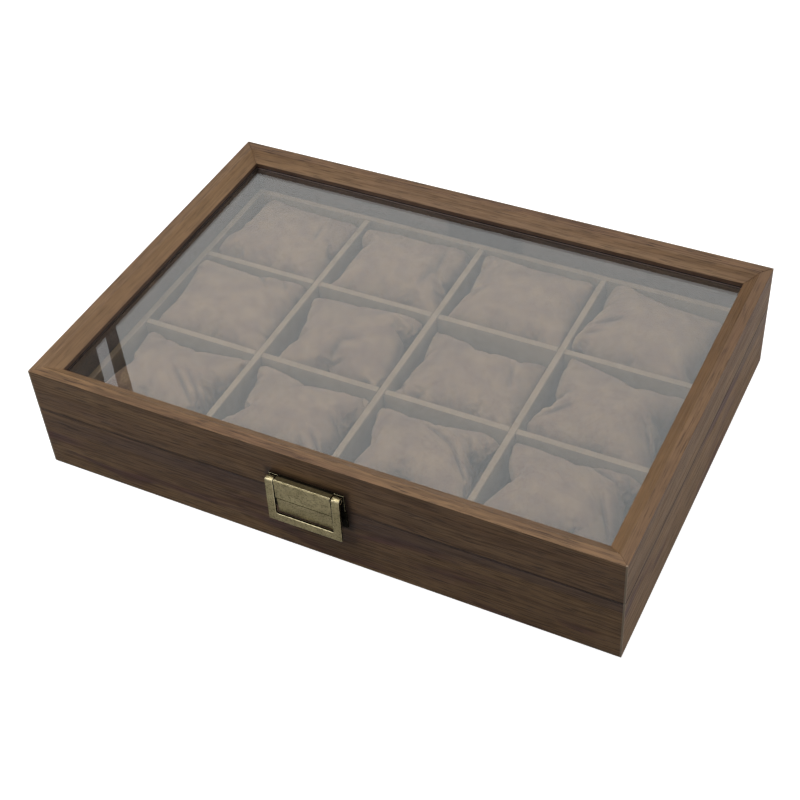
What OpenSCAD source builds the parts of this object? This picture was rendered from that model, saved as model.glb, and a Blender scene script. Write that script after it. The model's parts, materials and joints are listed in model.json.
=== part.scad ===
// Display box for twelve watches: a mitred wooden box with a glazed, hinged lid, a hasp latch and a
// divided tray of loose pillows. Millimetres, +Z up. The origin is the centre of the underside, the
// front (latch side) faces -Y and the hinges are on +Y.

/* [Box] */
// Width, left to right
box_w = 300; // [280:1:330]
// Depth, front to back, over the wood
box_d = 206; // [196:1:226]
// Height with the lid closed
box_h = 61.5; // [59:0.5:70]
// Height of the line where the lid meets the base
split_z = 37; // [36:0.5:39]
// Open gap between the lid and the base
split_gap = 0.3; // [0.2:0.05:0.5]
// Thickness of the base walls
wall_t = 11.2; // [10.5:0.1:12.5]
// Thickness of the felt under the box
felt_t = 0.8; // [0.5:0.1:1.5]
// Thickness of the bottom panel
panel_t = 3; // [2:0.5:4]

/* [Lid] */
// Thickness of the lid rails below the glass
rail_t = 9.4; // [8.5:0.1:9.6]
// Width of the flat rim on top of the rails
rim_w = 5.1; // [4:0.1:6]
// Width of the hollow moulding inside the rim
cove_w = 6.3; // [5:0.1:7]
// Drop of the hollow moulding
cove_drop = 4.5; // [3:0.1:5]
// Radius of the hollow moulding
cove_r = 24; // [15:1:40]
// Height of the upright lip between the moulding and the glass
lip_h = 3.4; // [2:0.1:4]
// Thickness of the glass
glass_t = 2; // [2:0.5:3]
// Thickness of the strips that hold the glass from inside
strip_t = 2; // [1.5:0.1:2.4]

/* [Tray] */
// Thickness of a covered tray board
board_t = 3.4; // [2.5:0.1:4]
// Height of the tray's rims above the table
rim_z = 39; // [38.5:0.5:41]
// Thickness of the covered floor board
floor_t = 1.5; // [1:0.1:3]
// Gap between the tray and the walls
tray_gap = 0.5; // [0.3:0.1:1]

/* [Pillows] */
// Gap between a pillow and the sides of its compartment
pillow_gap = 2.2; // [1.5:0.1:4]
// Height of a pillow's crown above the table
crown_z = 45; // [42:0.5:46]
// Drop from the crown to the pillow's shoulders
crown_drop = 12; // [8:0.5:14]

/* [Latch] */
// Width of the two back plates
plate_w = 38.3; // [36:0.1:44]
// Thickness of the sheet metal
sheet_t = 0.8; // [0.6:0.1:0.8]
// Width of the folded front panel on the lid
fold_w = 28.7; // [26:0.1:28.8]
// How far the lid's front panel stands out
fold_out = 5; // [4.8:0.1:5.4]
// How far the catch's front panel stands out at its foot
catch_out = 4.3; // [4:0.05:4.3]
// Radius of the rod that the bail swings on
rod_r = 0.9; // [0.7:0.05:0.9]
// Outer width of the bail
bail_w = 37.8; // [36:0.1:38]
// Width of a leg of the bail
leg_w = 4; // [3.5:0.1:4]
// Thickness of the bail
bail_t = 1.3; // [1:0.1:1.3]
// How far the bail's bar leans out at rest, in degrees
bail_lean = 2.6; // [2.4:0.1:4]

/* [Hinges] */
// Distance of each hinge from the middle
hinge_x = 90; // [60:5:105]
// Length of a hinge
hinge_l = 30; // [24:1:40]
// Outer radius of the knuckles
knuckle_r = 2; // [1.8:0.1:2.4]
// Radius of a hinge pin
pin_r = 1; // [0.8:0.1:1.1]
// Thickness of a hinge leaf
leaf_t = 0.9; // [0.7:0.1:1]

/* [Hidden] */
$fn = 48;
SIDES = ["front", "right", "back", "left"];
COLUMNS = ["left", "middle", "right"];
ROWS = ["front", "middle", "back"];

column_n = 4;
row_n = 3;

// Base and lid
base_top = split_z - split_gap / 2;
lid_bottom = split_z + split_gap / 2;
rebate_w = 5;
panel_top = felt_t + panel_t;
opening = rim_w + cove_w;              // from the outside to the clear opening over the glass
glass_top = box_h - cove_drop - lip_h;
glass_bottom = glass_top - glass_t;
glass_play = 0.2;
felt_inset = 1;

// Tray
tray_x = box_w / 2 - wall_t - tray_gap;
tray_y = box_d / 2 - wall_t - tray_gap;
floor_top = panel_top + floor_t;
lap_play = 0.05;
lap_w = board_t + 2 * lap_play;
cell_w = (2 * (tray_x - board_t) - (column_n - 1) * board_t) / column_n;
cell_d = (2 * (tray_y - board_t) - (row_n - 1) * board_t) / row_n;
pitch_x = cell_w + board_t;
pitch_y = cell_d + board_t;
lap_z = (floor_top + rim_z) / 2;

// Pillows
pillow_w = cell_w - 2 * pillow_gap;
pillow_d = cell_d - 2 * pillow_gap;
pillow_lift = 0.2;

// Latch: p is the distance in front of the wood
front_y = -box_d / 2;
shoulder_top = split_z + 10.2;
fold_top = split_z + 10.9;
fold_chamfer = 0.5;
fold_lean = 0.15;                      // the panel comes back by this much at its foot
ear_t = 1;
panel_gap = 0.3;                       // between the lid's panel and the catch's
panel_meet = split_z - 0.7;            // height of that gap: the lid's panel hangs past the split
catch_bottom = split_z - 10.25;
catch_w = fold_w - 0.5;
catch_lean = 0.4;                      // the catch's panel comes forward by this much at its top
catch_round = 0.6;
catch_plate_w = plate_w + 0.9;
plate_gap = 0.2;                       // between each back plate and the split edge of its wood
rod_p = 3.1;
rod_z = split_z + 8.8;
fit = 0.05;
eye_r = 1.9;
eye_corner = 1.2;                      // the flat front of an eye reaches this far above the rod's axis
bail_drop = 23.7;
bar_h = 4.4;
window_r = 0.8;
nail_x = 17;
nail_z = 5;                            // from the split to either row of nails
nail_r = 0.8;
nail_head_r = 1.4;
nail_head_t = 0.4;
nail_l = 6;

// Hinges
axis_y = box_d / 2 + knuckle_r + 0.1;
knuckle_l = hinge_l / 3;
knuckle_play = 0.1;
leaf_h = 9.5;
leaf_off = knuckle_r + 0.4;
screw_x = 9.5;
screw_z = leaf_off + leaf_h / 2;
screw_r = 1;
screw_head_r = 2;
screw_slot_w = 0.5;
screw_slot_d = 0.4;
screw_l = 7;
pin_head_r = knuckle_r - 0.3;
pin_head_t = 0.7;

function side_turn(s) = s == "front" ? 0 : s == "right" ? 90 : s == "back" ? 180 : 270;
function side_run(s) = s == "front" || s == "back" ? box_w : box_d;
function side_reach(s) = s == "front" || s == "back" ? box_d / 2 : box_w / 2;

// Puts its children, made as if for the front, on one side of the box
module on_side(s) {
    rotate([0, 0, side_turn(s)]) translate([0, -side_reach(s), 0]) children();
}

// A board along one side with mitred ends. The child is its section: x in from the outside, y up
module mitred(s) {
    run = side_run(s);
    cut = box_d / 2;
    on_side(s) intersection() {
        translate([-run / 2, 0, 0]) rotate([90, 0, 90]) linear_extrude(run) children();
        linear_extrude(box_h + 1)
            polygon([[-run / 2, 0], [run / 2, 0], [run / 2 - cut, cut], [cut - run / 2, cut]]);
    }
}

module board(low, high) {
    translate(low) cube(high - low);
}

// A cylinder along X, centred on x = 0
module rod_x(r, l) {
    rotate([0, 90, 0]) cylinder(r = r, h = l, center = true);
}

// A sheet-metal section in the plane across the box, drawn out along X. x of the child is p
module across(w) {
    translate([-w / 2, front_y, 0]) rotate([90, 0, 90]) linear_extrude(w) mirror([1, 0]) children();
}

module screw_places(z) {
    for (side = [-1, 1], x = [-screw_x, screw_x])
        translate([side * hinge_x + x, box_d / 2, z]) rotate([-90, 0, 0]) children();
}

module nail_places(z) {
    for (x = [-nail_x, nail_x]) translate([x, front_y, z]) rotate([90, 0, 0]) children();
}

// ---- Base ----

module base_wall(s) {
    color([0.33, 0.24, 0.18]) difference() {
        mitred(s) polygon([
            [0, felt_t], [wall_t - rebate_w, felt_t], [wall_t - rebate_w, panel_top],
            [wall_t, panel_top], [wall_t, base_top], [0, base_top]
        ]);
        if (s == "back") screw_places(split_z - screw_z) translate([0, 0, -screw_l - 0.2])
            cylinder(r = screw_r + fit, h = screw_l + 1);
        if (s == "front") nail_places(split_z - nail_z) translate([0, 0, -nail_l - 0.2])
            cylinder(r = nail_r + fit, h = nail_l + 1);
    }
}

module bottom_panel() {
    x = box_w / 2 - wall_t + rebate_w - 0.1;
    y = box_d / 2 - wall_t + rebate_w - 0.1;
    color([0.55, 0.45, 0.33]) board([-x, -y, felt_t], [x, y, panel_top]);
}

module underside_felt() {
    x = box_w / 2 - felt_inset;
    y = box_d / 2 - felt_inset;
    color([0.15, 0.13, 0.12]) board([-x, -y, 0], [x, y, felt_t]);
}

module floor_lining() {
    color([0.62, 0.57, 0.52]) board([-tray_x, -tray_y, panel_top], [tray_x, tray_y, floor_top]);
}

// The front and back boards run the whole width, and the side boards stand between them
module lining(s) {
    whole = s == "front" || s == "back";
    half = whole ? tray_x : tray_y - board_t;
    inset = side_reach(s) - (whole ? tray_y : tray_x);
    color([0.62, 0.57, 0.52]) on_side(s)
        board([-half, inset, floor_top], [half, inset + board_t, rim_z]);
}

// Slots open downwards, and drop over the row dividers
module divider_column(i) {
    y = tray_y - board_t - lap_play;
    color([0.62, 0.57, 0.52]) translate([(i - 1) * pitch_x, 0, 0]) difference() {
        board([-board_t / 2, -y, floor_top], [board_t / 2, y, rim_z]);
        for (side = [-1, 1]) translate([0, side * pitch_y / 2, 0])
            board([-board_t, -lap_w / 2, floor_top - 1], [board_t, lap_w / 2, lap_z]);
    }
}

// Slots open upwards
module divider_row(side) {
    x = tray_x - board_t - lap_play;
    color([0.62, 0.57, 0.52]) translate([0, side * pitch_y / 2, 0]) difference() {
        board([-x, -board_t / 2, floor_top], [x, board_t / 2, rim_z]);
        for (i = [-1:1]) translate([i * pitch_x, 0, 0])
            board([-lap_w / 2, -board_t, lap_z], [lap_w / 2, board_t, rim_z + 1]);
    }
}

// ---- Lid ----

module lid_rail(s) {
    chord = norm([cove_w, cove_drop]);
    rise = sqrt(cove_r * cove_r - chord * chord / 4);
    centre = [rim_w + cove_w / 2 + rise * cove_drop / chord, box_h - cove_drop / 2 + rise * cove_w / chord];
    color([0.45, 0.34, 0.26]) difference() {
        mitred(s) difference() {
            polygon([
                [0, lid_bottom], [rail_t, lid_bottom], [rail_t, glass_top], [opening, glass_top],
                [opening, box_h - cove_drop], [rim_w, box_h], [0, box_h]
            ]);
            translate(centre) circle(r = cove_r, $fn = 96);
        }
        if (s == "back") screw_places(split_z + screw_z) translate([0, 0, -screw_l - 0.2])
            cylinder(r = screw_r + fit, h = screw_l + 1);
        if (s == "front") nail_places(split_z + nail_z) translate([0, 0, -nail_l - 0.2])
            cylinder(r = nail_r + fit, h = nail_l + 1);
    }
}

module glass_pane() {
    x = box_w / 2 - rail_t - glass_play;
    y = box_d / 2 - rail_t - glass_play;
    color([0.8, 0.85, 0.85, 0.3]) board([-x, -y, glass_bottom], [x, y, glass_top]);
}

module lid_lining(s) {
    color([0.45, 0.38, 0.33]) mitred(s)
        translate([rail_t, lid_bottom + 0.3]) square([strip_t, glass_bottom - lid_bottom - 0.3]);
}

// ---- Hinges ----

// One leaf with its knuckles, for the base. up turns it over for the lid
module hinge_leaf(x, up) {
    knuckles = up ? [0] : [-1, 1];
    flat_y = box_d / 2 - axis_y;
    color([0.45, 0.38, 0.22]) translate([x, axis_y, split_z]) mirror([0, 0, up ? 1 : 0]) difference() {
        union() {
            board([-hinge_l / 2, flat_y, -leaf_off - leaf_h], [hinge_l / 2, flat_y + leaf_t, -leaf_off]);
            for (k = knuckles) translate([k * knuckle_l, 0, 0]) {
                rod_x(knuckle_r, knuckle_l - knuckle_play);
                board([-(knuckle_l - knuckle_play) / 2, -knuckle_r, -leaf_off],
                    [(knuckle_l - knuckle_play) / 2, flat_y + leaf_t, 0]);
            }
        }
        rod_x(pin_r + fit, hinge_l + 1);
        for (sx = [-screw_x, screw_x]) translate([sx, flat_y, -screw_z]) rotate([-90, 0, 0]) {
            translate([0, 0, -1]) cylinder(r = screw_r + fit, h = leaf_t + 2);
            cylinder(r1 = screw_r + fit, r2 = screw_head_r + fit, h = leaf_t);
        }
    }
}

module hinge_pin(x) {
    color([0.5, 0.43, 0.26]) translate([x, axis_y, split_z]) {
        rod_x(pin_r, hinge_l + pin_head_t / 2);
        for (side = [-1, 1]) translate([side * (hinge_l + pin_head_t) / 2, 0, 0])
            rod_x(pin_head_r, pin_head_t);
    }
}

module screws(z) {
    color([0.5, 0.43, 0.26]) screw_places(z) {
        translate([0, 0, -screw_l]) cylinder(r = screw_r, h = screw_l + leaf_t);
        difference() {
            cylinder(r1 = screw_r, r2 = screw_head_r, h = leaf_t);
            translate([-screw_head_r - 1, -screw_slot_w / 2, leaf_t - screw_slot_d])
                cube([2 * screw_head_r + 2, screw_slot_w, 1]);
        }
    }
}

// ---- Latch ----

module nails(z) {
    color([0.5, 0.43, 0.26]) nail_places(z) {
        translate([0, 0, -nail_l]) cylinder(r = nail_r, h = nail_l + sheet_t + 0.1);
        translate([0, 0, sheet_t]) cylinder(r = nail_head_r, h = nail_head_t);
    }
}

// Back plate, folded over forwards at its top and down again. Two ears in the fold carry the rod
module latch_plate() {
    low = lid_bottom + plate_gap;
    foot = panel_meet + panel_gap / 2;
    foot_out = fold_out - fold_lean;
    color([0.55, 0.48, 0.3]) difference() {
        union() {
            across(plate_w) translate([0, low]) square([sheet_t, shoulder_top - low]);
            across(fold_w) difference() {
                polygon([
                    [0, low], [0, shoulder_top], [sheet_t, shoulder_top],
                    [fold_out - fold_chamfer, fold_top], [fold_out, fold_top - fold_chamfer],
                    [foot_out, foot], [foot_out - sheet_t, foot], [foot_out - sheet_t, low]
                ]);
                polygon([
                    [sheet_t, shoulder_top - sheet_t], [fold_out - sheet_t, fold_top - sheet_t - fold_chamfer],
                    [foot_out - sheet_t, foot - 1], [sheet_t, foot - 1]
                ]);
            }
            for (side = [-1, 1]) translate([side * (fold_w - ear_t) / 2, 0, 0]) across(ear_t)
                translate([sheet_t / 2, rod_z - eye_r])
                    square([fold_out - sheet_t, shoulder_top - sheet_t / 2 - rod_z + eye_r]);
        }
        translate([0, front_y - rod_p, rod_z]) rod_x(rod_r + 0.02, plate_w);
        nail_places(split_z + nail_z) cylinder(r = nail_r + fit, h = sheet_t + 1);
    }
}

module latch_rod() {
    color([0.5, 0.43, 0.26]) translate([0, front_y - rod_p, rod_z]) rod_x(rod_r, bail_w - 0.2);
}

// Back plate, folded forwards at its bottom and up again: the bail's bar snaps under the fold
module catch_plate() {
    r = catch_round;
    high = base_top - plate_gap;
    top = panel_meet - panel_gap / 2;
    top_out = catch_out + catch_lean;
    color([0.55, 0.48, 0.3]) difference() {
        union() {
            across(catch_plate_w) translate([0, catch_bottom]) square([sheet_t, high - catch_bottom]);
            across(catch_w) {
                translate([0, catch_bottom]) square([catch_out - r, sheet_t]);
                translate([catch_out - r, catch_bottom + r]) circle(r = r);
                polygon([
                    [catch_out - sheet_t, catch_bottom + r], [catch_out, catch_bottom + r],
                    [top_out, top], [top_out - sheet_t, top]
                ]);
            }
        }
        nail_places(split_z - nail_z) cylinder(r = nail_r + fit, h = sheet_t + 1);
    }
}

// The bail's flat outline, seen from the front with the rod's axis at the origin
module bail_outline() {
    half = bail_w / 2;
    window = half - leg_w;
    sill = bar_h - bail_drop;
    difference() {
        translate([-half, -bail_drop]) square([bail_w, bail_drop + eye_corner]);
        translate([-window, sill + window_r]) square([2 * window, bail_drop]);
        translate([window_r - window, sill]) square([2 * (window - window_r), bail_drop]);
        for (side = [-1, 1]) translate([side * (window - window_r), sill + window_r]) circle(r = window_r);
    }
}

// The swinging frame: two legs with eyes round the rod, and a bar
module latch_bail() {
    color([0.55, 0.48, 0.3]) translate([0, front_y - rod_p, rod_z]) rotate([-bail_lean, 0, 0]) difference() {
        union() {
            for (side = [-1, 1]) translate([side * (bail_w - leg_w) / 2, 0, 0]) rod_x(eye_r, leg_w);
            translate([0, bail_t - eye_r, 0]) rotate([90, 0, 0]) linear_extrude(bail_t) bail_outline();
        }
        rod_x(rod_r + fit, bail_w + 2);
    }
}

// ---- Pillows ----

// A lens between the floor and the crown, cut off at the half width
module pillow_section(half) {
    low = floor_top + pillow_lift;
    drop = crown_drop;
    top_r = (half * half + drop * drop) / (2 * drop);
    intersection() {
        translate([-half, low]) square([2 * half, crown_z - low]);
        translate([0, crown_z - top_r]) circle(r = top_r, $fn = 96);
        translate([0, low - 2 + top_r]) circle(r = top_r, $fn = 96);
    }
}

module pillow(row, column) {
    x = (column - (column_n + 1) / 2) * pitch_x;
    y = (row - (row_n - 1) / 2) * pitch_y;
    color([0.68, 0.6, 0.53]) translate([x, y, 0]) intersection() {
        translate([0, box_d / 2, 0]) rotate([90, 0, 0]) linear_extrude(box_d)
            pillow_section(pillow_w / 2);
        translate([-box_w / 2, 0, 0]) rotate([90, 0, 90]) linear_extrude(box_w)
            pillow_section(pillow_d / 2);
    }
}

for (s = SIDES) {
    base_wall(s);
    lining(s);
    lid_rail(s);
    lid_lining(s);
}
for (i = [0:2]) divider_column(i);
divider_row(-1);  // divider_row_front
divider_row(1);  // divider_row_back
bottom_panel();
underside_felt();
floor_lining();
glass_pane();
hinge_leaf(-hinge_x, false);  // hinge_base_leaf_left
hinge_leaf(hinge_x, false);  // hinge_base_leaf_right
hinge_leaf(-hinge_x, true);  // hinge_lid_leaf_left
hinge_leaf(hinge_x, true);  // hinge_lid_leaf_right
hinge_pin(-hinge_x);  // hinge_pin_left
hinge_pin(hinge_x);  // hinge_pin_right
screws(split_z - screw_z);  // hinge_base_screws
screws(split_z + screw_z);  // hinge_lid_screws
latch_plate();
nails(split_z + nail_z);  // latch_plate_pins
latch_rod();
catch_plate();
nails(split_z - nail_z);  // catch_plate_pins
latch_bail();
for (r = [0:2], c = [1:4])
    pillow(r, c);
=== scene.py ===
"""A display box for twelve watches, at rest with its lid closed. Metres, in the CAD part's own frame."""

import json
import math
import random

import bmesh
import bpy
import numpy as np
from mathutils import Matrix, Vector


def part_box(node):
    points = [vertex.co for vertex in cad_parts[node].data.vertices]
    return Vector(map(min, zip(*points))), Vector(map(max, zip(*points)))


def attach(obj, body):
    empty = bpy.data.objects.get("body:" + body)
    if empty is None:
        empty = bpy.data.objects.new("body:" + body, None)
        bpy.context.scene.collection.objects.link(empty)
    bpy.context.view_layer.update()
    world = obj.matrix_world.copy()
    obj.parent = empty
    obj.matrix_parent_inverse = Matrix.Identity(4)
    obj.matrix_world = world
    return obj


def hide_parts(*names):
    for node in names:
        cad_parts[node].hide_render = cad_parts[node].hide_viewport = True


MM = 0.001
SIDES = ("front", "right", "back", "left")
ROWS = ("front", "middle", "back")
COLUMNS = (1, 2, 3, 4)

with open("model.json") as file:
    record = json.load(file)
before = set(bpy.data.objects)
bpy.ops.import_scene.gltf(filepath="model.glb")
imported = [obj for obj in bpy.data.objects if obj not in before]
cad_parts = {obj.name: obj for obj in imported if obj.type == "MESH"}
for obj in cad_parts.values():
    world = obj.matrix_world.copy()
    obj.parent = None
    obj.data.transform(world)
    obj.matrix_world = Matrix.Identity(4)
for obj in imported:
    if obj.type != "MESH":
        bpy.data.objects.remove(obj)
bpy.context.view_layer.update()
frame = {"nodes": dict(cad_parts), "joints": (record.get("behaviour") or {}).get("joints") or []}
NODES = frame["nodes"]


# ---- Camera and stage ----

CAMERA_AZIMUTH = 29.61
CAMERA_ELEVATION = 43.71
CAMERA_ROLL = -4.65
CAMERA_DISTANCE = 0.7174
CAMERA_AIM = Vector((0.0059, -0.0232, 0.030))
CAMERA_LENS = 66.5


def direction(azimuth, elevation):
    """The unit vector towards a point seen from the origin. Azimuth 0 is the front, 90 the right."""
    a, e = math.radians(azimuth), math.radians(elevation)
    return Vector((math.sin(a) * math.cos(e), -math.cos(a) * math.cos(e), math.sin(e)))


def facing(back, roll=0.0):
    """A rotation whose local +Z is back, with local +X level, then rolled."""
    x = Vector((0, 0, 1)).cross(back).normalized()
    y = back.cross(x)
    turn = math.radians(roll)
    side = math.cos(turn) * x + math.sin(turn) * y
    up = math.cos(turn) * y - math.sin(turn) * x
    return Matrix((side, up, back)).transposed().to_4x4()


def add_camera():
    data = bpy.data.cameras.new("camera")
    data.lens = CAMERA_LENS
    data.clip_start = 0.01
    camera = bpy.data.objects.new("camera", data)
    bpy.context.scene.collection.objects.link(camera)
    back = direction(CAMERA_AZIMUTH, CAMERA_ELEVATION)
    camera.matrix_world = Matrix.Translation(CAMERA_AIM + back * CAMERA_DISTANCE) @ facing(back, CAMERA_ROLL)
    bpy.context.scene.camera = camera


def add_softbox(name, azimuth, elevation, distance, width, height, radiance, color=(1, 1, 1), roll=0.0):
    """A rectangular light of that brightness, facing the box."""
    data = bpy.data.lights.new(name, "AREA")
    data.shape = "RECTANGLE"
    data.size = width
    data.size_y = height
    data.energy = 4 * radiance * width * height
    data.color = color
    lamp = bpy.data.objects.new(name, data)
    bpy.context.scene.collection.objects.link(lamp)
    towards = direction(azimuth, elevation)
    lamp.matrix_world = Matrix.Translation(towards * distance) @ facing(towards, roll)
    return lamp


DOME_TOP = (0.20, 0.28, 0.94)      # towards the brightest part of the dome
DOME_EDGE = 0.33                   # cosine of the angle from there at which the dome is darkest
DOME_RADIANCE = (0.02, 0.90)       # there, and at the brightest part
DOME_TINT = (0.97, 0.985, 1.0, 1)
MIRRORED = (209, 42)               # azimuth and elevation of what the glass mirrors to the camera
MIRRORED_REACH = (0.93, 0.966)     # cosines of the angle from there between which the dome darkens
MIRRORED_SHADE = 0.18              # what is left of its light there
FLOOR_Z = -0.0002
FLOOR_SIZE = 40
FLOOR_GREY = (0.52, 0.52, 0.52, 1)
FLOOR_GLOW = (0.80, 0.80, 0.80, 1)


def add_world():
    """A dome that is brightest overhead, darker where the glass mirrors it, and plain white to the camera."""
    world = bpy.data.worlds.new("studio")
    bpy.context.scene.world = world
    world.use_nodes = True
    tree = world.node_tree
    tree.nodes.clear()
    place = tree.nodes.new("ShaderNodeTexCoord").outputs["Generated"]

    def around(aim, cosines, strengths, fade):
        """The first strength far from aim, the second one near it."""
        dot = tree.nodes.new("ShaderNodeVectorMath")
        dot.operation = "DOT_PRODUCT"
        dot.inputs[1].default_value = aim
        tree.links.new(place, dot.inputs[0])
        ramp = tree.nodes.new("ShaderNodeMapRange")
        ramp.interpolation_type = fade
        for name, number in zip(("From Min", "From Max", "To Min", "To Max"), (*cosines, *strengths)):
            ramp.inputs[name].default_value = number
        tree.links.new(dot.outputs["Value"], ramp.inputs["Value"])
        return ramp.outputs["Result"]

    strength = tree.nodes.new("ShaderNodeMath")
    strength.operation = "MULTIPLY"
    dome = around(Vector(DOME_TOP).normalized(), (DOME_EDGE, 1.0), DOME_RADIANCE, "LINEAR")
    shade = around(direction(*MIRRORED), MIRRORED_REACH, (1.0, MIRRORED_SHADE), "SMOOTHSTEP")
    tree.links.new(dome, strength.inputs[0])
    tree.links.new(shade, strength.inputs[1])
    lit = tree.nodes.new("ShaderNodeBackground")
    lit.inputs["Color"].default_value = DOME_TINT
    tree.links.new(strength.outputs[0], lit.inputs["Strength"])
    seen = tree.nodes.new("ShaderNodeBackground")
    seen.inputs["Color"].default_value = (1, 1, 1, 1)
    path = tree.nodes.new("ShaderNodeLightPath")
    mix = tree.nodes.new("ShaderNodeMixShader")
    out = tree.nodes.new("ShaderNodeOutputWorld")
    tree.links.new(path.outputs["Is Camera Ray"], mix.inputs["Fac"])
    tree.links.new(lit.outputs[0], mix.inputs[1])
    tree.links.new(seen.outputs[0], mix.inputs[2])
    tree.links.new(mix.outputs[0], out.inputs["Surface"])


def add_floor():
    """A pale floor, which glows to the camera alone so that it is seen as white."""
    bpy.ops.mesh.primitive_plane_add(size=FLOOR_SIZE, location=(0, 0, FLOOR_Z))
    floor = bpy.context.active_object
    floor.name = "floor"
    floor.visible_diffuse = False
    paper = bpy.data.materials.new("floor_paper")
    paper.use_nodes = True
    tree = paper.node_tree
    shader = tree.nodes["Principled BSDF"]
    shader.inputs["Base Color"].default_value = FLOOR_GREY
    shader.inputs["Roughness"].default_value = 1
    shader.inputs["Specular IOR Level"].default_value = 0
    shader.inputs["Emission Color"].default_value = FLOOR_GLOW
    path = tree.nodes.new("ShaderNodeLightPath")
    tree.links.new(path.outputs["Is Camera Ray"], shader.inputs["Emission Strength"])
    floor.data.materials.append(paper)


# ---- Material helpers ----


class Shading:
    """A material's node tree, with short names for the nodes used here."""

    def __init__(self, name):
        self.material = bpy.data.materials.new(name)
        self.material.use_nodes = True
        self.tree = self.material.node_tree
        self.shader = self.tree.nodes["Principled BSDF"]
        coord = self.tree.nodes.new("ShaderNodeTexCoord")
        self.place = coord.outputs["Object"]
        self.slope = coord.outputs["Normal"]

    def link(self, source, target):
        self.tree.links.new(source, target)

    def stretched(self, scale, shift=(0, 0, 0), warp=None):
        """Object coordinates times scale, in features per metre, or warp's coordinates if it is given."""
        mapping = self.tree.nodes.new("ShaderNodeMapping")
        mapping.inputs["Scale"].default_value = scale
        mapping.inputs["Location"].default_value = shift
        self.link(warp or self.place, mapping.inputs["Vector"])
        return mapping.outputs["Vector"]

    def axes(self, vector):
        node = self.tree.nodes.new("ShaderNodeSeparateXYZ")
        self.link(vector, node.inputs[0])
        return node.outputs

    def noise(self, vector, detail=2.0, rough=0.5, output="Fac"):
        node = self.tree.nodes.new("ShaderNodeTexNoise")
        node.inputs["Scale"].default_value = 1
        node.inputs["Detail"].default_value = detail
        node.inputs["Roughness"].default_value = rough
        self.link(vector, node.inputs["Vector"])
        return node.outputs[output]

    def ramp(self, value, low, high, to_low=0.0, to_high=1.0):
        """A smooth change from to_low, where value is low, to to_high, where it is high."""
        node = self.tree.nodes.new("ShaderNodeMapRange")
        node.interpolation_type = "SMOOTHSTEP"
        for name, number in (("From Min", low), ("From Max", high), ("To Min", to_low), ("To Max", to_high)):
            node.inputs[name].default_value = number
        self.link(value, node.inputs["Value"])
        return node.outputs["Result"]

    def math(self, operation, a, b):
        node = self.tree.nodes.new("ShaderNodeMath")
        node.operation = operation
        for i, value in enumerate((a, b)):
            if isinstance(value, (int, float)):
                node.inputs[i].default_value = value
            else:
                self.link(value, node.inputs[i])
        return node.outputs[0]

    def times(self, a, b):
        return self.math("MULTIPLY", a, b)

    def size(self, value):
        return self.math("ABSOLUTE", value, 0.0)

    def apart(self, value, centre):
        return self.size(self.math("SUBTRACT", value, centre))

    def mix(self, share, a, b):
        node = self.tree.nodes.new("ShaderNodeMix")
        node.data_type = "RGBA"
        for socket, value in ((0, share), (6, a), (7, b)):
            if isinstance(value, (int, float)):
                node.inputs[socket].default_value = value
            elif isinstance(value, tuple):
                node.inputs[socket].default_value = (*value, 1)
            else:
                self.link(value, node.inputs[socket])
        return node.outputs[2]

    def scaled(self, color, factor):
        node = self.tree.nodes.new("ShaderNodeVectorMath")
        node.operation = "SCALE"
        self.link(color, node.inputs[0])
        self.link(factor, node.inputs["Scale"])
        return node.outputs[0]

    def bump(self, height, distance, strength):
        node = self.tree.nodes.new("ShaderNodeBump")
        node.inputs["Distance"].default_value = distance
        node.inputs["Strength"].default_value = strength
        self.link(height, node.inputs["Height"])
        return node.outputs["Normal"]

    def finish(self, color, roughness, normal, **constants):
        self.link(color, self.shader.inputs["Base Color"])
        if isinstance(roughness, (int, float)):
            self.shader.inputs["Roughness"].default_value = roughness
        else:
            self.link(roughness, self.shader.inputs["Roughness"])
        self.link(normal, self.shader.inputs["Normal"])
        for name, value in constants.items():
            self.shader.inputs[name.replace("_", " ")].default_value = value
        return self.material


# ---- Materials ----

COVE_WIDTH = 0.0062      # of the hollow in the lid's moulding, whose face is made a little paler by painted light
LIP_HEIGHT = 0.0034      # of the upright edge between the lid's moulding and its glass
FRONT_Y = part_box("base_wall_front")[0].y
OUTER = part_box("base_wall_back")[1]                     # the wood's back right corner
SPLIT_Z = (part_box("base_wall_front")[1].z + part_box("lid_rail_front")[0].z) / 2
GLASS_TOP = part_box("glass_pane")[1].z

WOOD_LIGHT = (0.240, 0.140, 0.066)
WOOD_MID = (0.184, 0.102, 0.049)
WOOD_DARK = (0.052, 0.028, 0.017)
WOOD_RED = (0.092, 0.036, 0.033)
WOOD_PLUM = (0.052, 0.031, 0.035)
# The pores' colour, also used for painted shade on the wood
PORE_AND_SHADE = (0.020, 0.010, 0.007)
# A darker stain: real on the dark strip, painted shade on the lid rails
STAIN_AND_SHADE = (0.048, 0.041, 0.038)
WORN_CORNER = (0.34, 0.27, 0.20)
# Painted shade on the lid's lip, a black line at its foot, and a painted highlight where it meets the glass
LIP_SHADE = (0.036, 0.015, 0.011)
LIP_LINE = (0.003, 0.002, 0.002)
LIP_HIGHLIGHT = (0.20, 0.135, 0.115)

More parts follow.
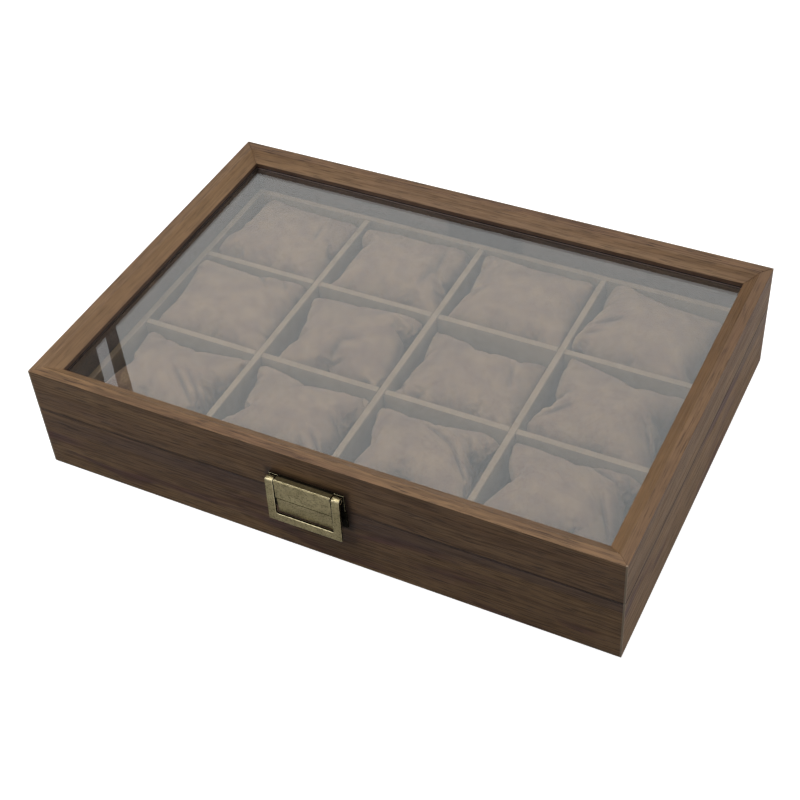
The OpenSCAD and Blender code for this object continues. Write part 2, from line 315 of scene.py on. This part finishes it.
# The layers of the grain: width and length of a streak in metres, shift, which warp bends it, detail and
# roughness of its noise, and the noise values between which it fades in
GRAIN = {
    "broad": (0.016, 0.24, 3, "gentle", 2, 0.5, 0.30, 0.70),
    "bands": (0.0030, 0.110, 7, "wavy", 3, 0.6, 0.40, 0.68),
    "lines": (0.0008, 0.040, 11, "gentle", 2, 0.6, 0.46, 0.60),
    "pores": (0.00042, 0.0110, 13, "gentle", 1, 0.5, 0.56, 0.66),
    "flame": (0.010, 0.10, 17, "wavy", 2, 0.5, 0.48, 0.66),
    "plum": (0.013, 0.20, 23, "gentle", 1, 0.5, 0.40, 0.58),
}
MOTTLE = (0.012, 19, 0.30, 0.70, 0.93, 1.06)    # patch size, shift, then a ramp of brightness
BANDS_SHARE = 0.26       # how strongly each layer of the grain covers what is under it
LINES_SHARE = 0.42
PORES_SHARE = 0.70
PLUM_SHARE = 0.55
PLUM_Z = (0.024, 0.030)  # heights between which a wall's purplish band fades in

# Ramps for the wood's painted shade at the joint line and round the latch, its worn edges, and the lip's
# painted shade, black line and painted highlight: from, to, and the strength at each
UPRIGHT = (0.93, 0.98, 1, 0)                # by how far a face looks up or down
SPLIT_SHADE = (0.0005, 0.0008, 0.97, 0)      # painted shade in the gap, by height from the joint between lid and base
LATCH_SHADE = (0.0002, 0.0035, 0.85, 0)           # painted shade round the latch, by distance from its plates
FACES_FRONT = (-0.9, -0.5, 1, 0)            # by how far a face looks back
FACES_BACK = (0.25, 0.5)
FACES_UP = (0.2, 0.4)
EDGE = (-0.0009, -0.0006)                   # of the wood's outer edges, from OUTER
CORNER_WEAR = 0.75
BACK_EDGE_SHADE = 0.8
# Painted light on the hollow's face: its strength, and the width over which it fades out
COVE_PAINTED_LIGHT = 0.30
COVE_FADE = 0.0005
LIP_SIDE = (0.0001, 0.0004, 1, 0)           # by distance from the lip's face
LIP_SHADED = (-0.0004, 0.0, 0.75, 0)       # painted shade on the lip, by height from its top
LIP_LINED = (0.0010, 0.0013, 1, 0)          # by height from the glass
# painted highlight where the lip meets the glass, by height from the glass
LIP_HIGHLIGHTED = (0.0003, 0.0005, 1, 0)

# Dark patina mixed with painted shade on the latch's sides, ledges and plates by the box, and painted shade
# in the gap between its panels
PATINA_AND_SHADE = (0.006, 0.005, 0.004)
PATINA_AND_SHADE_SHARE = 0.97
PATINA_ROUGHNESS = 0.30
WALL_PATINA_AND_SHADE = 0.0016                # how far from the box the latch's plates are blackened by patina and painted shade
CREASE_Z = SPLIT_Z - 0.00085        # of the gap between the latch's two panels
PANEL_HALF = 0.0145                 # half width of those panels
LEDGES_TOP = SPLIT_Z + 0.005        # level below which the latch's upward faces are blackened
METAL_EDGE = 0.0002                 # over which the latch's patina and painted shade begin and end
FOLD_SHADE = 0.85                   # how far the bottom of a pillow's crease takes the colour of its painted shade

# Metals and cloths: the lighter and the darker of the two tones that each is clouded with
BRONZE = ((0.44, 0.375, 0.21), (0.25, 0.21, 0.11))
BRONZE_DARK = ((0.30, 0.25, 0.14), (0.13, 0.105, 0.055))
BRONZE_WORN = ((0.85, 0.76, 0.50), (0.60, 0.52, 0.30))
VELVET = ((0.185, 0.128, 0.082), (0.150, 0.104, 0.066))
FELT = ((0.030, 0.026, 0.024), (0.018, 0.016, 0.015))
SUEDE = ((0.168, 0.108, 0.065), (0.114, 0.069, 0.049))
# Colour of the painted shade at the bottom of a pillow's creases
SUEDE_CREASE_SHADE = (0.050, 0.034, 0.028)
BRONZE_SPECK = (0.060, 0.048, 0.024)


def latch_reach():
    """The lowest and highest corners of the latch's two back plates together."""
    plates = [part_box(name) for name in ("latch_plate", "catch_plate")]
    low = Vector([min(box[0][axis] for box in plates) for axis in range(3)])
    high = Vector([max(box[1][axis] for box in plates) for axis in range(3)])
    return low, high


def worn_and_shaded(s, color, place, slope, upright):
    """Wood with painted shade at the joint between lid and base and round the latch, worn corners and the
    dark upper back edge.
    """
    # Painted shade in the gap between lid and base
    split_shade = s.times(s.ramp(s.apart(place[2], SPLIT_Z), *SPLIT_SHADE), upright)
    color = s.mix(split_shade, color, PORE_AND_SHADE)

    # Painted shade round the latch, on faces that look forward
    low, high = latch_reach()
    beside = s.math("MAXIMUM", s.math("SUBTRACT", s.size(place[0]), high.x), 0.0)
    above = s.math("MAXIMUM", s.math("SUBTRACT", place[2], high.z), s.math("SUBTRACT", low.z, place[2]))
    shade_round_latch = s.times(s.ramp(s.math("MAXIMUM", beside, above), *LATCH_SHADE), s.ramp(slope[1], *FACES_FRONT))
    color = s.mix(shade_round_latch, color, PORE_AND_SHADE)

    near_x, near_y = (s.ramp(s.size(place[i]), OUTER[i] + EDGE[0], OUTER[i] + EDGE[1]) for i in (0, 1))
    color = s.mix(s.times(s.times(near_x, near_y), CORNER_WEAR), color, WORN_CORNER)

    at_back = s.times(s.ramp(slope[1], *FACES_BACK), s.ramp(slope[2], *FACES_UP))
    back_edge = s.times(at_back, s.ramp(place[1], OUTER.y + EDGE[0], OUTER.y + EDGE[1]))
    return s.mix(s.times(back_edge, BACK_EDGE_SHADE), color, PORE_AND_SHADE)


def lipped(s, color, place, across, lip, upright):
    """A lid rail with its hollow made paler by painted light, painted shade on its lip, and below that a
    black line and a painted highlight.
    """
    # Painted light that makes the hollow paler
    hollow_light = s.ramp(across, lip + COVE_WIDTH - COVE_FADE, lip + COVE_WIDTH, COVE_PAINTED_LIGHT, 0)
    color = s.mix(s.times(hollow_light, upright), color, WOOD_LIGHT)
    # Painted shade on the lip, a black line at its foot, and a painted highlight where it meets the glass
    start, end, *strengths = LIP_SIDE
    inside = s.ramp(across, lip + start, lip + end, *strengths)
    for level, (start, end, *strengths), tone in (
        (GLASS_TOP + LIP_HEIGHT, LIP_SHADED, LIP_SHADE),
        (GLASS_TOP, LIP_LINED, LIP_LINE),
        (GLASS_TOP, LIP_HIGHLIGHTED, LIP_HIGHLIGHT),
    ):
        share = s.ramp(place[2], level + start, level + end, *strengths)
        color = s.mix(s.times(inside, share), color, tone)
    return color


def walnut(name, along, shift, figure=0.25, streaks=1.0, lip=None, stain_and_shade=0.0):
    """
    Matt walnut veneer, its grain along axis 0 or 1. Figure is how much reddish, wavy figure it has,
    streaks is how strong its fine dark grain is, and the last argument is how far the whole board is
    darkened: a real stain on the dark strip, painted shade on the lid rails. A lip is the distance from the
    middle to a lid rail's inner edge, whose lip gets painted shade, a black line and a painted highlight.
    """
    s = Shading(name)

    def grain(width, length, offset=0.0, warp=None):
        scale = [1 / width] * 3
        scale[along] = 1 / length
        return s.stretched(scale, (shift + offset,) * 3, warp)

    def swayed(source, amount):
        node = s.tree.nodes.new("ShaderNodeVectorMath")
        node.operation = "MULTIPLY_ADD"
        s.link(source, node.inputs[0])
        node.inputs[1].default_value = (amount,) * 3
        s.link(s.place, node.inputs[2])
        return node.outputs[0]

    warps = {
        "gentle": swayed(s.noise(grain(0.030, 0.110), detail=1, output="Color"), 0.003),
        "wavy": swayed(s.noise(grain(0.022, 0.060, 2), detail=1, output="Color"), 0.004 + 0.012 * figure),
    }

    def layer(kind):
        width, length, offset, warp, detail, rough, low, high = GRAIN[kind]
        return s.ramp(s.noise(grain(width, length, offset, warps[warp]), detail, rough), low, high)

    lines = layer("lines")
    pores = layer("pores")
    patch, offset, *brightness = MOTTLE
    mottle = s.ramp(s.noise(grain(patch, patch, offset)), *brightness)

    color = s.mix(layer("broad"), WOOD_MID, WOOD_LIGHT)
    color = s.mix(s.times(layer("flame"), figure), color, WOOD_RED)
    color = s.mix(s.times(layer("bands"), BANDS_SHARE * streaks), color, WOOD_DARK)
    color = s.mix(s.times(lines, LINES_SHARE * streaks), color, WOOD_DARK)
    color = s.mix(s.times(pores, PORES_SHARE * streaks), color, PORE_AND_SHADE)
    # Darkening of the whole board: a real stain on the dark strip, painted shade on the lid rails
    if stain_and_shade:
        color = s.mix(stain_and_shade, color, STAIN_AND_SHADE)

    place = s.axes(s.place)
    slope = s.axes(s.slope)
    plum = s.times(s.times(layer("plum"), figure), s.ramp(place[2], *PLUM_Z))
    color = s.mix(s.times(plum, PLUM_SHARE), color, WOOD_PLUM)
    upright = s.ramp(s.size(slope[2]), *UPRIGHT)
    color = worn_and_shaded(s, color, place, slope, upright)
    if lip:
        color = lipped(s, color, place, s.size(place[1 - along]), lip, upright)

    height = s.math("ADD", s.times(lines, -0.4), s.times(pores, -1.0))
    roughness = s.ramp(lines, 0, 1, 0.46, 0.60)
    normal = s.bump(height, 0.00005, 0.6)
    return s.finish(s.scaled(color, mottle), roughness, normal, Specular_IOR_Level=0.28)


def cloth(name, light, dark, fibre, sheen, nap=0.007, fold=None):
    """
    Short-piled cloth: patches of brushed nap over a fine fibre. Where the mesh attribute that holds a
    crease's painted shade is 1, at the bottom of a crease, it is close to the colour of that painted shade.
    """
    s = Shading(name)
    patches = s.ramp(s.noise(s.stretched((1 / nap,) * 3), detail=3, rough=0.6), 0.30, 0.70)
    fine = s.noise(s.stretched((1 / fibre,) * 3, (5, 5, 5)), detail=2, rough=0.6)
    specks = s.ramp(fine, 0.32, 0.72, 0.86, 1.12)
    color = s.mix(patches, dark, light)
    # Painted shade at the bottom of the creases
    if fold:
        depth = s.tree.nodes.new("ShaderNodeAttribute")
        depth.attribute_name = "fold"
        color = s.mix(s.times(depth.outputs["Fac"], FOLD_SHADE), color, fold)
    height = s.math("ADD", fine, s.times(patches, 0.5))
    roughness = s.ramp(patches, 0, 1, 0.94, 0.86)
    normal = s.bump(height, 0.00003, 0.5)
    return s.finish(s.scaled(color, specks), roughness, normal,
                    Sheen_Weight=sheen, Sheen_Roughness=0.5, Specular_IOR_Level=0.12)


def bronze(name, light, dark, rough=0.42, worn=False):
    """
    Antiqued bronze: brushed along X, faintly clouded and finely specked. Unless it is worn bright, dark
    patina mixed with painted shade blackens its sides, its ledges and its plates next to the box, and painted
    shade blackens the narrow gap across the latch.
    """
    s = Shading(name)
    clouds = s.ramp(s.noise(s.stretched((170, 170, 170)), detail=4, rough=0.6), 0.30, 0.70, 0.25, 0.85)
    brush = s.noise(s.stretched((400, 3000, 3000), (2, 2, 2)), detail=2)
    specks = s.ramp(s.noise(s.stretched((1200, 1200, 1200), (4, 4, 4)), detail=2, rough=0.7), 0.46, 0.66)
    color = s.mix(clouds, dark, light)
    color = s.mix(s.times(specks, 0.55), color, BRONZE_SPECK)
    wear = s.math("ADD", s.times(clouds, -0.08), rough)
    roughness = s.math("ADD", wear, s.times(brush, 0.16))
    if not worn:
        # Dark patina mixed with painted shade on sides, ledges and the plates by the box; painted shade in
        # the gap between the panels
        x, y, z = s.axes(s.place)
        across, _, up = s.axes(s.slope)
        side = s.ramp(s.size(across), 0.60, 0.80)
        ledge = s.times(s.ramp(up, 0.60, 0.80), s.ramp(z, LEDGES_TOP, LEDGES_TOP + METAL_EDGE, 1, 0))
        wall = FRONT_Y - WALL_PATINA_AND_SHADE
        behind = s.ramp(y, wall - METAL_EDGE, wall + METAL_EDGE)
        inside = s.ramp(s.size(x), PANEL_HALF, PANEL_HALF + METAL_EDGE, 1, 0)
        crease = s.times(s.ramp(s.apart(z, CREASE_Z), 0.00020, 0.00040, 0.9, 0), inside)
        patina_and_shade = s.math("MAXIMUM", s.math("MAXIMUM", side, ledge), s.math("MAXIMUM", behind, crease))
        patina_and_shade = s.times(patina_and_shade, s.ramp(y, -0.001, 0.0, 1, 0))      # the latch, not the hinges
        color = s.mix(s.times(patina_and_shade, PATINA_AND_SHADE_SHARE), color, PATINA_AND_SHADE)
        roughness = s.math("ADD", roughness, s.times(patina_and_shade, PATINA_ROUGHNESS))
    height = s.math("ADD", brush, s.times(specks, -0.6))
    return s.finish(color, roughness, s.bump(height, 0.00004, 0.5), Metallic=1.0)


def pane_glass(name):
    """
    Clear glass that lamps shine through. It mirrors a little more than window glass, so that the haze
    of dim lights in it has little grain.
    """
    s = Shading(name)
    shader = s.shader
    shader.inputs["Base Color"].default_value = (0.985, 1.0, 0.995, 1)
    shader.inputs["Transmission Weight"].default_value = 1
    shader.inputs["IOR"].default_value = 1.8
    smears = s.noise(s.stretched((25, 25, 25)), detail=3)
    s.link(s.ramp(smears, 0.3, 0.7, 0.0, 0.003), shader.inputs["Roughness"])
    clear = s.tree.nodes.new("ShaderNodeBsdfTransparent")
    clear.inputs["Color"].default_value = (0.935, 0.955, 0.95, 1)
    path = s.tree.nodes.new("ShaderNodeLightPath")
    mix = s.tree.nodes.new("ShaderNodeMixShader")
    out = s.tree.nodes["Material Output"]
    s.link(path.outputs["Is Shadow Ray"], mix.inputs["Fac"])
    s.link(shader.outputs[0], mix.inputs[1])
    s.link(clear.outputs[0], mix.inputs[2])
    s.link(mix.outputs[0], out.inputs["Surface"])
    return s.material


def board_wood(name):
    """Plain sanded board, for what hardly shows."""
    s = Shading(name)
    fibres = s.noise(s.stretched((60, 900, 900)), detail=3)
    color = s.mix(s.ramp(fibres, 0.3, 0.7), (0.30, 0.21, 0.13), (0.42, 0.31, 0.20))
    return s.finish(color, 0.7, s.bump(fibres, 0.00005, 0.4))


# ---- CAD nodes kept, with their own finish ----


WELD_DISTANCE = 0.000002
SHARP_ANGLE = 40                    # from which an edge is rounded, in degrees
WOOD_BEVEL = 0.0004
LINING_BEVEL = 0.0003

# The veneer: how wavy the base's and the lid's is, how streaky it is along X and along Y, and how much
# painted shade darkens each lid rail
BASE_FIGURE = 0.85
LID_FIGURE = 0.15
STREAKS = (1.0, 0.6)
RAIL_SHADE = {"front": 0.0, "right": 0.06, "back": 0.0, "left": 0.15}


def dress(names, material, bevel=0.0, segments=2, edge=None):
    """Gives CAD nodes a material and rounds their sharp edges, in an edge material if one is given."""
    for name in names:
        node = NODES[name]
        node.data.materials.clear()
        node.data.materials.append(material)
        if edge is not None:
            node.data.materials.append(edge)
        if bevel:
            weld = node.modifiers.new("weld", "WELD")
            weld.merge_threshold = WELD_DISTANCE
            round_off = node.modifiers.new("bevel", "BEVEL")
            round_off.width = bevel
            round_off.segments = segments
            round_off.limit_method = "ANGLE"
            round_off.angle_limit = math.radians(SHARP_ANGLE)
            round_off.harden_normals = True
            round_off.use_clamp_overlap = True
            if edge is not None:
                round_off.material = 1


def dress_box():
    for axis, sides in enumerate((("front", "back"), ("left", "right"))):
        lip = -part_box(f"lid_rail_{sides[0]}")[1][1 - axis]
        streaks = STREAKS[axis]
        base = walnut(f"walnut_base_{axis}", axis, 1.7 + axis, BASE_FIGURE, streaks)
        dress([f"base_wall_{s}" for s in sides], base, WOOD_BEVEL)
        for side in sides:
            shift = 5.3 + 2.6 * axis
            rail = walnut(f"walnut_lid_{side}", axis, shift, LID_FIGURE, streaks, lip, RAIL_SHADE[side])
            dress([f"lid_rail_{side}"], rail, WOOD_BEVEL)
    dark = walnut("dark_strip", 0, 9.1, stain_and_shade=0.75)
    dress([f"lid_lining_{s}" for s in SIDES], dark, LINING_BEVEL)
    dress(["bottom_panel"], board_wood("board"), LINING_BEVEL)
    dress(["glass_pane"], pane_glass("glass"))

    velvet = cloth("velvet", *VELVET, 0.00030, 0.04)
    boards = [f"lining_{s}" for s in SIDES] + [f"divider_column_{c}" for c in ("left", "middle", "right")]
    boards += ["divider_row_front", "divider_row_back", "floor_lining"]
    dress(boards, velvet, 0.0007, 3)
    felt = cloth("felt", *FELT, 0.0004, 0.1)
    dress(["underside_felt"], felt, LINING_BEVEL)

    face = bronze("bronze", *BRONZE)
    dull = bronze("bronze_dark", *BRONZE_DARK, 0.5)
    worn = bronze("bronze_edge", *BRONZE_WORN, 0.32, worn=True)
    dress(["latch_plate", "catch_plate"], face, 0.00030, edge=worn)
    dress(["latch_bail"], face, 0.00022, edge=worn)
    small = [f"hinge_{part}_{s}" for part in ("base_leaf", "lid_leaf", "pin") for s in ("left", "right")]
    small += ["hinge_base_screws", "hinge_lid_screws", "latch_rod", "latch_plate_pins", "catch_plate_pins"]
    dress(small, dull, 0.00010, edge=face)


# ---- Pillows ----

CASE_HALF = (0.40, 0.36)      # a flat pillow case, over ten times life size for the simulation
CASE_CELLS = 48               # along each side
CASE_SWELL = 0.035            # how far the two sheets start from the middle plane
CASE_JITTER = 0.002           # seeded, so that the cloth buckles into its creases
CLOTH_QUALITY = 6
CLOTH_MASS = 0.3
AIR_DAMPING = 2

# Each cloth: frames, air pressure, stretch, shear and bending stiffness, and how far the corners are cut back
CLOTHS = {
    "thin": (28, 5, 40, 10, 0.06, 0.06),
    "soft": (26, 5, 20, 6, 0.10, 0.06),
    "loose": (26, 6, 20, 6, 0.10, 0.08),
    "full": (30, 8, 60, 10, 0.05, 0.06),
    "plump": (30, 8, 60, 10, 0.08, 0.08),
}


def pillow_case(name, seed, cut):
    """Two sheets joined round their edge, a little apart in the middle. Attribute seam is 1 on the edge."""
    noise = random.Random(seed)
    n = CASE_CELLS
    mesh = bmesh.new()
    top, bottom, edge = {}, {}, []
    for i in range(n + 1):
        for j in range(n + 1):
            u, v = 2 * i / n - 1, 2 * j / n - 1
            trim = 1 - cut * (u * v) ** 4
            x, y = u * CASE_HALF[0] * trim, v * CASE_HALF[1] * trim
            swell = CASE_SWELL * (1 - u * u) * (1 - v * v)
            if i in (0, n) or j in (0, n):
                top[i, j] = bottom[i, j] = mesh.verts.new((x, y, noise.uniform(-CASE_JITTER, CASE_JITTER)))
                edge.append(True)
            else:
                top[i, j] = mesh.verts.new((x, y, swell + noise.uniform(-CASE_JITTER, CASE_JITTER)))
                bottom[i, j] = mesh.verts.new((x, y, -swell + noise.uniform(-CASE_JITTER, CASE_JITTER)))
                edge += [False, False]
    for i in range(n):
        for j in range(n):
            ring = [(i, j), (i + 1, j), (i + 1, j + 1), (i, j + 1)]
            mesh.faces.new([top[k] for k in ring])
            mesh.faces.new([bottom[k] for k in reversed(ring)])
    data = bpy.data.meshes.new(name)
    mesh.to_mesh(data)
    mesh.free()
    seam = data.attributes.new("seam", "FLOAT", "POINT")
    seam.data.foreach_set("value", np.array(edge, np.float32))
    case = bpy.data.objects.new(name, data)
    bpy.context.scene.collection.objects.link(case)
    return case


def blown_up(case, frames, pressure, stretch, shear, bending):
    """
    The case after a cloth simulation with air pressure inside, subdivided once, as (points, faces, seam).
    """
    soft = case.modifiers.new("cloth", "CLOTH")
    settings = soft.settings
    settings.quality = CLOTH_QUALITY
    settings.mass = CLOTH_MASS
    settings.air_damping = AIR_DAMPING
    settings.tension_stiffness = stretch
    settings.compression_stiffness = stretch
    settings.shear_stiffness = shear
    settings.bending_stiffness = bending
    settings.use_pressure = True
    settings.uniform_pressure_force = pressure
    settings.effector_weights.gravity = 0
    soft.point_cache.frame_start = 1
    soft.point_cache.frame_end = frames
    finer = case.modifiers.new("finer", "SUBSURF")
    finer.levels = finer.render_levels = 1
    for step in range(1, frames + 1):
        bpy.context.scene.frame_set(step)
    graph = bpy.context.evaluated_depsgraph_get()
    shown = case.evaluated_get(graph)
    mesh = shown.to_mesh()
    points = np.array([v.co for v in mesh.vertices], float)
    faces = [tuple(p.vertices) for p in mesh.polygons]
    seam = np.zeros(len(points), np.float32)
    mesh.attributes["seam"].data.foreach_get("value", seam)
    shown.to_mesh_clear()
    bpy.data.objects.remove(case)
    bpy.context.scene.frame_set(1)
    return points, faces, seam


def smooth_step(x):
    x = np.clip(x, 0, 1)
    return x * x * (3 - 2 * x)


# Travel of a pillow's slide
PILLOW_LIFT = next(j["range_m"][1] for j in frame["joints"] if j["name"] == "pillow_front_1_lift")
GLASS_GAP = 0.0003                 # from a lifted pillow to the glass
HIGHEST_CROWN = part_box("glass_pane")[0].z - PILLOW_LIFT - GLASS_GAP
CROWN_EASE = 0.0012                # height over which a crown is pressed flatter to stay under that
PILLOW_HALF = (0.0318, 0.0276)     # half width and depth
SEAM_Z = 0.0305                    # height of the seam above the table
CROWN = 0.0155                     # crown above the seam
BELLY = 0.0250                     # depth below the seam
BELLY_SPREAD = 0.05                # how much wider a pillow is below its seam, times its size
BELLY_FILL = 1.6                   # how soon below the seam it is that much wider
CORNER_LIFT = 0.0045
CORNER_POWER = 1.5                 # how closely that lift keeps to the corners
SEAM_PROUD = 1.012                 # how far the stitched edge stands out, times the pillow's size
SIDE_GAP = 0.0018                  # how far past the CAD pillow's side it may reach
SIDE_EASE = 0.004                  # depth over which a side is pressed flat

# Each pillow: seed and cloth, 1 or -1 for mirrored left to right, yaw, lean forward and lean right in
# degrees, then sink and shift to the right and back in mm
PILLOWS = {
    ("front", 1): (16, "soft", 1, -2, 2, -2, 0.0, 0.0, 0.0),
    ("front", 2): (17, "soft", 1, -2, 3, 2, 0.0, 0.0, 0.0),
    ("front", 3): (15, "soft", 1, 5, -2, 1, 0.0, 0.0, 0.0),
    ("front", 4): (18, "loose", 1, 1, 2, 3, 0.0, 0.5, 2.0),
    ("middle", 1): (19, "full", 1, 4, 2, 3, 0.0, 0.0, 0.0),
    ("middle", 2): (12, "thin", 1, 3, 3, -2, 0.0, 0.0, 0.0),
    ("middle", 3): (11, "thin", 1, 1, -2, 3, 2.5, 0.0, -2.0),
    ("middle", 4): (13, "thin", 1, -5, 3, 2, 0.0, 0.0, 0.0),
    ("back", 1): (21, "plump", 1, -6, -3, -2, 0.0, 0.0, 0.0),
    ("back", 2): (14, "thin", -1, 4, 2, 2, 0.0, 0.0, 0.0),
    ("back", 3): (22, "plump", 1, 1, 2, 3, 0.0, 1.2, 0.0),
    ("back", 4): (20, "full", -1, -7, -1, 3, 0.0, 0.0, 0.0),
}

CREASE_DEPTH = 0.0016              # of a crease of strength 1
CREASE_STEEP = 0.03                # width of a crease's steep side, in a pillow's half widths
CREASE_GENTLE = 0.10               # and of its other side
CREASE_END = (0.12, 0.76, 0.6)     # start, span and power of the sine that flattens a crease at its ends
LIP_RISE = 0.35                    # of the cloth beside the steep side, times the depth
LIP_PLACE = 0.12                   # how far from the crease it is highest
LIP_SPREAD = 0.07
FOLD_WIDTH = 0.035                 # of the line of painted shade at the bottom
FOLD_FULL = 1.5                    # strength from which that line is fully dark

# Creases that the stuffing leaves, as lines in a pillow's own half widths, then their strength
CREASES = {
    ("front", 1): [((0.21, -0.03), (0.70, -0.45), 1.7), ((0.42, 0.02), (0.85, -0.35), 1.3)],
    ("front", 2): [((0.60, 0.20), (0.83, 0.04), 1.3), ((0.58, -0.36), (0.86, -0.60), 1.5),
                   ((-0.78, -0.40), (-0.58, -0.22), 1.0)],
    ("front", 3): [((-0.05, 0.52), (0.45, 0.18), 1.6), ((0.45, 0.18), (0.78, -0.28), 1.9),
                   ((0.62, 0.50), (0.80, 0.05), 1.4)],
    ("front", 4): [((0.22, 0.74), (0.70, 0.50), 1.6), ((0.55, 0.12), (0.85, -0.45), 2.0)],
    ("middle", 1): [((0.15, 0.82), (0.38, 0.52), 1.3), ((0.60, 0.82), (0.74, 0.58), 1.1)],
    ("middle", 2): [((-0.02, -0.62), (0.04, -0.30), 1.7), ((0.04, -0.30), (0.25, -0.20), 1.3)],
    ("middle", 3): [((0.50, 0.45), (0.63, -0.05), 1.2)],
    ("middle", 4): [((-0.75, -0.62), (-0.45, -0.33), 1.5), ((-0.85, -0.05), (-0.55, -0.02), 1.1),
                    ((0.66, -0.05), (0.90, -0.42), 1.5)],
    ("back", 1): [((0.51, 0.37), (0.60, -0.08), 1.3), ((-0.85, -0.30), (-0.60, -0.25), 0.9)],
    ("back", 2): [((0.64, -0.09), (0.62, 0.55), 1.3), ((0.50, -0.45), (0.60, -0.05), 1.2)],
    ("back", 3): [((-0.75, -0.45), (-0.58, -0.18), 0.9)],
    ("back", 4): [((-0.75, -0.42), (-0.43, -0.16), 1.8), ((-0.80, -0.75), (-0.60, -0.60), 1.0)],
}


def pressed(unit, creases):
    """How far each point of a pillow's top sinks into its creases, in metres, and how much painted shade it
    gets there, 0 to 1.
    """
    drop = np.zeros(len(unit))
    dark = np.zeros(len(unit))
    for start, end, strength in creases:
        a, b = np.array(start), np.array(end)
        along = b - a
        t = np.clip(((unit - a) @ along) / (along @ along), 0, 1)
        from_start = unit - a
        off = np.linalg.norm(from_start - t[:, None] * along, axis=1)
        steep = along[0] * from_start[:, 1] - along[1] * from_start[:, 0] > 0
        start_at, span, power = CREASE_END
        taper = np.sin(np.pi * (start_at + span * t)) ** power
        valley = np.exp(-off / np.where(steep, CREASE_STEEP, CREASE_GENTLE))
        lip = np.where(steep, LIP_RISE * np.exp(-(((off - LIP_PLACE) / LIP_SPREAD) ** 2)), 0)
        drop += strength * CREASE_DEPTH * taper * (valley - lip)
        # Painted shade along the bottom of each crease
        line = np.exp(-((off / FOLD_WIDTH) ** 2))
        dark = np.maximum(dark, np.minimum(strength / FOLD_FULL, 1) * taper * line)
    return drop, dark


def in_its_cell(row, column, points, seam):
    """A blown-up case's points as those of a pillow in its compartment, and how much painted shade its
    creases give each.
    """
    yaw, forward, right, *offset = PILLOWS[row, column][3:]
    sink, shift_right, shift_back = (distance * MM for distance in offset)
    u, v = (points[:, :2] / np.abs(points[:, :2]).max(0)).T
    rise = np.where(points[:, 2] > 0, points[:, 2] / points[:, 2].max(), 0)
    fall = np.where(points[:, 2] < 0, points[:, 2] / points[:, 2].min(), 0)
    corner = (np.abs(u) * np.abs(v)) ** CORNER_POWER
    spread = (1 + BELLY_SPREAD * smooth_step(BELLY_FILL * fall)) * (1 + (SEAM_PROUD - 1) * seam)
    drop, dark = pressed(np.stack([u, v], axis=1), CREASES.get((row, column), []))
    on_top = points[:, 2] > 0
    z = rise * CROWN - fall * BELLY + CORNER_LIFT * corner - np.where(on_top, drop, 0)
    placed = np.stack([u * PILLOW_HALF[0] * spread, v * PILLOW_HALF[1] * spread, z], axis=1)
    turn = Matrix.Rotation(math.radians(yaw), 3, "Z")
    turn = turn @ Matrix.Rotation(math.radians(forward), 3, "X")
    turn = turn @ Matrix.Rotation(math.radians(right), 3, "Y")
    placed = placed @ np.array(turn).T + np.array([shift_right, shift_back, 0])

    low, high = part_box(f"pillow_{row}_{column}")
    centre = (low + high) / 2
    for axis in (0, 1):
        limit = (high[axis] - low[axis]) / 2 + SIDE_GAP
        x = placed[:, axis]
        over = np.maximum(np.abs(x) - (limit - SIDE_EASE), 0)
        eased = limit - SIDE_EASE + SIDE_EASE * np.tanh(over / SIDE_EASE)
        placed[:, axis] = np.sign(x) * np.where(over > 0, eased, np.abs(x))
    placed[:, 2] += SEAM_Z - sink
    placed[:, 2] = np.maximum(placed[:, 2], low.z)
    over = np.maximum(placed[:, 2] - (HIGHEST_CROWN - CROWN_EASE), 0)
    placed[:, 2] += CROWN_EASE * np.tanh(over / CROWN_EASE) - over
    placed += np.array([centre.x, centre.y, 0])
    return placed, np.where(on_top, dark, 0)


def make_pillow(row, column, material):
    """One pillow in its compartment, blown up from its own case."""
    seed, kind, mirror = PILLOWS[row, column][:3]
    *physics, cut = CLOTHS[kind]
    points, faces, seam = blown_up(pillow_case(f"case_{seed}", seed, cut), *physics)
    if mirror < 0:
        points = points * np.array([-1, 1, 1])
        faces = [face[::-1] for face in faces]
    placed, dark = in_its_cell(row, column, points, seam)

    data = bpy.data.meshes.new(f"pillow_{row}_{column}")
    data.from_pydata(placed.tolist(), [], faces)
    # Painted shade at the bottom of each crease, kept as a mesh attribute for the suede
    fold = data.attributes.new("fold", "FLOAT", "POINT")
    fold.data.foreach_set("value", dark.astype(np.float32))
    data.materials.append(material)
    for polygon in data.polygons:
        polygon.use_smooth = True
    pillow = bpy.data.objects.new(f"suede_pillow_{row}_{column}", data)
    bpy.context.scene.collection.objects.link(pillow)
    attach(pillow, f"pillow_{row}_{column}_body")
    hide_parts(f"pillow_{row}_{column}")


def make_pillows():
    suede = cloth("suede", *SUEDE, 0.0014, 0.04, 0.009, SUEDE_CREASE_SHADE)
    for row in ROWS:
        for column in COLUMNS:
            make_pillow(row, column, suede)


# ---- The scene ----

bpy.context.scene.view_settings.view_transform = "Standard"
add_camera()
add_world()
# Each light: azimuth and elevation in degrees, then distance, width and height in metres, and brightness
add_softbox("top_softbox", 315, 80, 2.0, 1.6, 1.4, 2.35, (1.0, 0.99, 0.98))
add_softbox("right_fill", 112, 12, 0.95, 0.7, 0.5, 2.3)
add_softbox("left_fill", 325, 45, 0.8, 0.35, 0.3, 3.9)
# Two more that give no diffuse light. The glass mirrors them, as its haze and the bar across its clear corner
for card in (
    add_softbox("glass_card", 203.8, 39.1, 2.2, 1.46, 1.5, 0.70, (0.97, 1.0, 1.0), 13.6),
    add_softbox("glass_strip", 229.2, 41, 2.2, 0.022, 0.4, 0.62, (0.97, 0.98, 1.0), -4),
):
    card.visible_diffuse = False
add_floor()
dress_box()
make_pillows()
